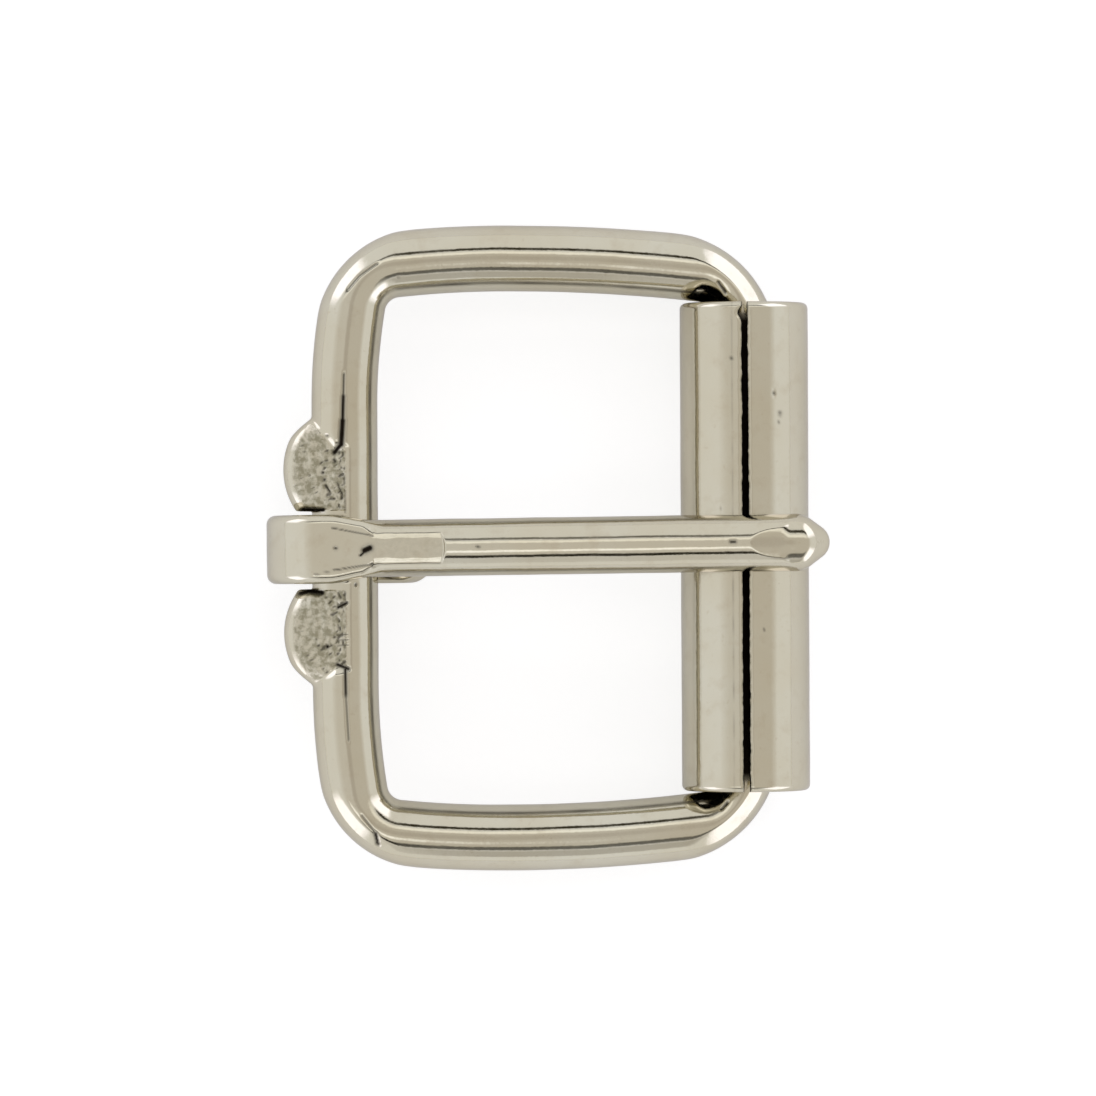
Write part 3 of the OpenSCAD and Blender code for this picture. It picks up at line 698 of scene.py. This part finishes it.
# %% Marks on the tongue
# Each mark: from (x, y), to (x, y), its width and its depth, 1 being full
TONGUE_MARKS = (
    ((-0.2, 1.6), (2.9, 0.95), 0.06, 0.8), ((-0.1, -1.6), (2.8, -1.2), 0.07, 0.8),
    ((1.95, -0.52), (2.25, -0.25), 0.12, 1.1), ((2.27, -0.14), (2.65, 0.03), 0.25, 1.4),
    ((0.05, 0.06), (0.07, 0.05), 0.15, 0.9), ((-1.5, -1.92), (-0.1, -1.6), 0.05, 0.5),
    ((10.8, 0.0), (11.0, 0.02), 0.10, 0.9), ((29.95, 0.1), (30.25, 0.1), 0.13, 1.0))
FLANK_AT, FLANK_WIDE = 58, 4.5  # the painted reflection line on each flank, in degrees from the top
seen = (tz > 3.5) & (tx > -4)
grime_and_shade = np.zeros_like(reach)
for a, b, width, depth in TONGUE_MARKS:
    grime_and_shade = np.maximum(grime_and_shade, depth * seen * streak(tx, ty, a, b, width))
grime_and_shade = np.minimum(grime_and_shade, 1.0)

# The flat is a little grainy, and a painted dark reflection line runs along each flank of the
# shank
pad = seen * ease(-np.abs(tz - EYE_TOP), -0.05, -0.01) * ease(-tx, -8.8, -8.2)
grain = 0.12 * pad * ease(tx, 2.6, 3.3)
flank = np.abs(np.abs(np.degrees(angle) - 90) - FLANK_AT)
painted_dark_lines = 0.4 * np.exp(-(flank / FLANK_WIDE) ** 2) * ease(tx, 3.0, 5.0) * ease(-tx, -31, -29)
place = np.stack([tx, ty, tz], -1)
taper = ease(way["wide"], 0.3, 1.5)
reach = reach - 0.04 * grime_and_shade + taper * (0.012 * ripple(place, 4.0, 21)
                                        + 0.006 * grain * ripple(place, 0.5, 22))
grime_and_shade = np.maximum(grime_and_shade, painted_dark_lines)
tx, ty, tz = tongue_place(reach)
buckle_tongue = skin("buckle_tongue", lay_tongue(np.stack([tx, ty, tz], -1)), "poles",
                     {"grain": grain, "grime_and_shade": grime_and_shade})

# %% [markdown]
# ## The finish: nickel plate that has been handled
# Nickel plate is a warm grey metal. It is bright where it is smooth, so the colour comes from
# the tint of the reflection, and the wear comes from small changes in gloss. Three noises give
# it life: a broad one shifts the tint, a middle one the gloss, and a fine one the micro relief.
# Faint polishing lines and small brown specks come on top. The marks made above make the press
# faces matt and stained, and turn the dark marks near black and matt: dirt and painted shade
# alike.

# %% Build the finish from nodes
WARM, PALE, BROWN = (0.610, 0.565, 0.440, 1), (0.640, 0.610, 0.500, 1), (0.500, 0.430, 0.310, 1)
OLIVE, DARK = (0.270, 0.250, 0.170, 1), (0.012, 0.009, 0.006, 1)


class Finish:
    """A small helper: adds nodes to a material or world and wires them up in one call."""

    def __init__(self, owner):
        owner.use_nodes = True
        self.nodes, self.links = owner.node_tree.nodes, owner.node_tree.links
        self.shader = self.nodes.get("Principled BSDF")

    def add(self, kind, inputs=(), **settings):
        node = self.nodes.new("ShaderNode" + kind)
        for key, value in settings.items():
            setattr(node, key, value)
        for socket, value in dict(inputs).items():
            if isinstance(value, bpy.types.NodeSocket):
                self.links.new(value, node.inputs[socket])
            else:
                node.inputs[socket].default_value = value
        return node

    def noise(self, place, scale, detail=3.0, rough=0.55):
        """Smooth random values; scale is about how many blobs fit in a metre."""
        return self.add("TexNoise", {"Vector": place, "Scale": scale, "Detail": detail,
                                     "Roughness": rough}).outputs["Fac"]

    def math(self, operation, a, b=0.0, c=0.0):
        """One step of arithmetic: MULTIPLY_ADD is a times b plus c."""
        return self.add("Math", {0: a, 1: b, 2: c}, operation=operation).outputs[0]

    def ramp(self, value, low, high, out_low=0.0, out_high=1.0):
        """out_low at low and out_high at high, a straight slope between and level beyond."""
        return self.add("MapRange", {"Value": value, "From Min": low, "From Max": high,
                                     "To Min": out_low, "To Max": out_high}).outputs[0]

    def tint(self, share, a, b):
        """The colour a where share is 0 and b where it is 1. Sockets 6 and 7 are the colours."""
        node = self.add("Mix", {"Factor": share}, data_type="RGBA")
        for socket, value in ((6, a), (7, b)):
            if isinstance(value, bpy.types.NodeSocket):
                self.links.new(value, node.inputs[socket])
            else:
                node.inputs[socket].default_value = value
        return node.outputs[2]


def nickel_plate(name, stretch):
    """Warm grey plate. stretch is the scale of the polishing lines along x, y and z, so they
    are long where it is small. The reflections' tint comes first, then gloss, then relief."""
    material = bpy.data.materials.new(name)
    f = Finish(material)
    place = f.add("TexCoord").outputs["Object"]
    grain = f.add("Attribute", attribute_name="grain").outputs["Fac"]
    grime_and_shade = f.add("Attribute", attribute_name="grime_and_shade").outputs["Fac"]
    brushed = f.add("Mapping", {"Vector": place, "Scale": stretch}).outputs[0]
    broad = f.noise(place, 130, 3)
    middle = f.noise(place, 700, 4)
    fine = f.noise(place, 5200, 3)
    lines = f.noise(brushed, 2400, 3, 0.6)
    specks = f.ramp(f.noise(place, 2600, 2), 0.66, 0.74)
    mottle = f.math("MULTIPLY", f.ramp(f.noise(place, 2100, 3, 0.6), 0.40, 0.60), grain)
    colour = f.tint(f.ramp(broad, 0.35, 0.68), WARM, PALE)
    colour = f.tint(f.ramp(middle, 0.55, 0.85, 0.0, 0.45), colour, BROWN)
    colour = f.tint(f.math("MULTIPLY", specks, 0.25), colour, BROWN)
    stain = f.math("MULTIPLY_ADD", mottle, 0.72, f.math("MULTIPLY", grain, 0.16))
    colour = f.tint(stain, colour, OLIVE)
    # Dark marks go near black: dirt and pits, and the painted shade and painted reflections
    colour = f.tint(grime_and_shade, colour, DARK)
    f.links.new(colour, f.shader.inputs["Base Color"])
    f.shader.inputs["Metallic"].default_value = 1.0
    f.shader.inputs["Specular Tint"].default_value = (0.80, 0.79, 0.80, 1)
    gloss = f.ramp(middle, 0.3, 0.75, 0.06, 0.14)
    gloss = f.math("MULTIPLY_ADD", grain, 0.22, gloss)
    gloss = f.math("MULTIPLY_ADD", grime_and_shade, 0.35, gloss)
    f.links.new(gloss, f.shader.inputs["Roughness"])
    relief = f.math("MULTIPLY_ADD", lines, 0.35, f.math("MULTIPLY", fine, 0.25))
    rough = f.math("MULTIPLY", f.noise(place, 2300, 4, 0.7), f.math("MULTIPLY", grain, 4.0))
    relief = f.math("ADD", relief, rough)
    relief = f.math("MULTIPLY_ADD", middle, 1.2, relief)
    bump = f.add("Bump", {"Height": relief, "Strength": 0.35, "Distance": 0.00002})
    f.links.new(bump.outputs[0], f.shader.inputs["Normal"])
    return material


plates = {"frame": nickel_plate("frame_plate", (1, 1, 1)),
          "roller": nickel_plate("roller_plate", (1, 0.12, 1)),
          "tongue": nickel_plate("tongue_plate", (0.12, 1, 1))}
print("finishes", sorted(plates))

# %% Put each piece on its body
for piece, node in ((buckle_frame, "frame"), (buckle_roller, "roller"),
                    (buckle_tongue, "tongue")):
    piece.data.materials.append(plates[node])
    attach(piece, node)
    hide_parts(node)
    print(piece.name, "rides on", node)

# %% [markdown]
# ## Floor, light tent and camera
# The buckle lies on a plain pale floor in a white tent. Polished round wire shows the tent
# rather than a colour of its own, so the tent decides where the dark lines run: two narrow gaps
# between the roof panels run along x, the roof itself is a little dimmer and warmer than most
# of the tent, and the near wall is dimmer still. Two bright strips in the roof draw the white
# lines beside the gaps, and bright patches low in the tent's corners light the facets on the
# corners of the frame. Above the tongue bar the roof is a little lighter, the far gap paler and
# the near gap darker than elsewhere. The sky's direction stands for the tent, which keeps the
# lines straight.

# %% The floor
# The camera sees mostly the paper's own glow, which leaves only a faint shadow on it, and the
# metal mirrors mostly the light that falls on the paper
GLOW_MIRRORED, GLOW_SEEN = 0.20, 0.72
PAPER_MIRRORED, PAPER_SEEN = 0.74, 0.42
bpy.ops.mesh.primitive_circle_add(vertices=96, radius=3.0, fill_type="NGON")
floor = bpy.context.object
floor.name = "floor"
floor.data.materials.append(bpy.data.materials.new("paper"))
paper = Finish(floor.data.materials[0])
paper.shader.inputs["Roughness"].default_value = 0.9
paper.shader.inputs["Specular IOR Level"].default_value = 0.0
paper.shader.inputs["Emission Color"].default_value = (1, 1, 1, 1)
direct = paper.add("LightPath").outputs["Is Camera Ray"]
paper.links.new(paper.ramp(direct, 0.0, 1.0, GLOW_MIRRORED, GLOW_SEEN),
                paper.shader.inputs["Emission Strength"])
paper.links.new(paper.ramp(direct, 0.0, 1.0, PAPER_MIRRORED, PAPER_SEEN),
                paper.shader.inputs["Base Color"])
print("floor", [round(size, 2) for size in floor.dimensions])

# %% The tent's directions
# u and v are where a direction meets a level ceiling 1 high: u to the right and v away
world = bpy.data.worlds.new("tent")
bpy.context.scene.world = world
tent = Finish(world)
way_out = tent.add("TexCoord").outputs["Generated"]
axes = tent.add("SeparateXYZ", {0: way_out}).outputs
height = tent.math("MAXIMUM", axes["Z"], 0.001)
v = tent.math("DIVIDE", axes["Y"], height)
u = tent.math("DIVIDE", axes["X"], height)


def band(value, middle, half, soft):
    """1 within half of the middle, falling to 0 over the soft width."""
    away = tent.math("ABSOLUTE", tent.math("SUBTRACT", value, middle))
    return tent.ramp(away, half, half + soft, 1.0, 0.0)


def both(a, b):
    """1 where a and b are both 1, and 0 where either is 0: their product."""
    return tent.math("MULTIPLY", a, b)


# %% The tent's roof, gaps, wall and bright strips
# Each has its middle, its half width and a soft edge, and most are weaker on one side
short = band(u, 0.0, 0.40, 0.55)
long = band(u, -0.10, 0.78, 0.25)
tongue_side = tent.ramp(u, 0.06, -0.12)
roof = both(both(band(v, -0.18, 0.50, 0.08), band(u, 0.22, 0.80, 0.55)),
            tent.ramp(tongue_side, 0, 1, 1.0, 0.7))
far_gap = both(both(band(v, 0.635, 0.085, 0.045), long), tent.ramp(tongue_side, 0, 1, 1.0, 0.8))
shifted = tent.math("MULTIPLY_ADD", tongue_side, 0.05, v)
near_gap = both(both(band(shifted, -0.80, 0.13, 0.08), short),
                tent.ramp(tongue_side, 0, 1, 0.84, 1.0))
near_wall = both(both(band(v, -1.95, 0.75, 0.30), short), tent.ramp(tongue_side, 0, 1, 1.0, 0.5))
far_shine = both(band(v, 0.335, 0.055, 0.04), short)
near_shine = both(band(v, -0.335, 0.055, 0.04), band(u, -0.25, 0.25, 0.10))

# %% The patches low in the tent's corners
# level is 1 for level directions and 0 straight up, diagonal is 1 halfway between x and y and 0
# along either, low lets the patches on the right reach higher, and steep trims them towards y
across, along = (tent.math("ABSOLUTE", axes[k]) for k in "XY")
level = tent.math("SUBTRACT", 1.0, both(axes["Z"], axes["Z"]))
right, near = tent.ramp(axes["X"], -0.1, 0.1), tent.ramp(axes["Y"], 0.1, -0.1)
low = tent.math("ADD", level, both(right, tent.ramp(near, 0.0, 1.0, 0.26, 0.12)))
diagonal = tent.math("DIVIDE", both(both(across, along), 2.0), level)
steep = tent.math("SUBTRACT", along, both(across, tent.ramp(right, 0.0, 1.0, 1.0, 1.35)))
corner = both(both(tent.ramp(diagonal, 0.5, 0.8), tent.ramp(low, 0.74, 0.86)),
              both(tent.ramp(steep, 0.25, 0.10), tent.ramp(axes["Z"], 0.0, 0.04)))

# %% The tent's light
# Straight above is the dim patch of the camera, and level with the buckle the tent's dim edge
lens = both(band(u, 0.0, 0.07, 0.09), band(v, 0.0, 0.07, 0.09))
horizon = band(axes["Z"], 0.0, 0.02, 0.04)
light = (0.94, 0.94, 0.96, 1)
AREAS = ((roof, (0.71, 0.675, 0.63, 1)), (near_wall, (0.60, 0.585, 0.57, 1)),
         (far_gap, (0.04, 0.034, 0.020, 1)), (near_gap, (0.03, 0.026, 0.018, 1)),
         (far_shine, (1.24, 1.22, 1.20, 1)), (near_shine, (1.45, 1.45, 1.50, 1)),
         (horizon, (0.80, 0.79, 0.79, 1)), (corner, (1.8, 1.8, 2.05, 1)),
         (lens, (0.60, 0.56, 0.52, 1)))
for share, colour in AREAS:
    light = tent.tint(share, light, colour)
seen_by_camera = tent.add("LightPath").outputs["Is Camera Ray"]
light = tent.tint(seen_by_camera, light, (1, 1, 1, 1))
background = tent.nodes["Background"]
tent.links.new(light, background.inputs["Color"])
background.inputs["Strength"].default_value = 1.0
bpy.context.scene.view_settings.view_transform = "Standard"
print("areas of the tent", len(AREAS))

# %% The camera straight above
# The picture shows PICTURE_WIDE millimetres of the level that lies LIFT above the floor
PICTURE_WIDE, CAMERA_UP, LIFT = 83.0, 560.0, 5.0
CAMERA_X, CAMERA_Y, CAMERA_TURN = 0.125, -0.017, -0.314
camera_data = bpy.data.cameras.new("camera")
camera_data.lens = camera_data.sensor_width * CAMERA_UP / PICTURE_WIDE
camera_data.clip_start, camera_data.clip_end = 0.01, 20.0
camera = bpy.data.objects.new("camera", camera_data)
bpy.context.scene.collection.objects.link(camera)
camera.location = (CAMERA_X * MM, CAMERA_Y * MM, (CAMERA_UP + LIFT) * MM)
camera.rotation_euler = (0.0, 0.0, math.radians(CAMERA_TURN))
bpy.context.scene.camera = camera
print("lens", round(camera_data.lens, 1), "mm")
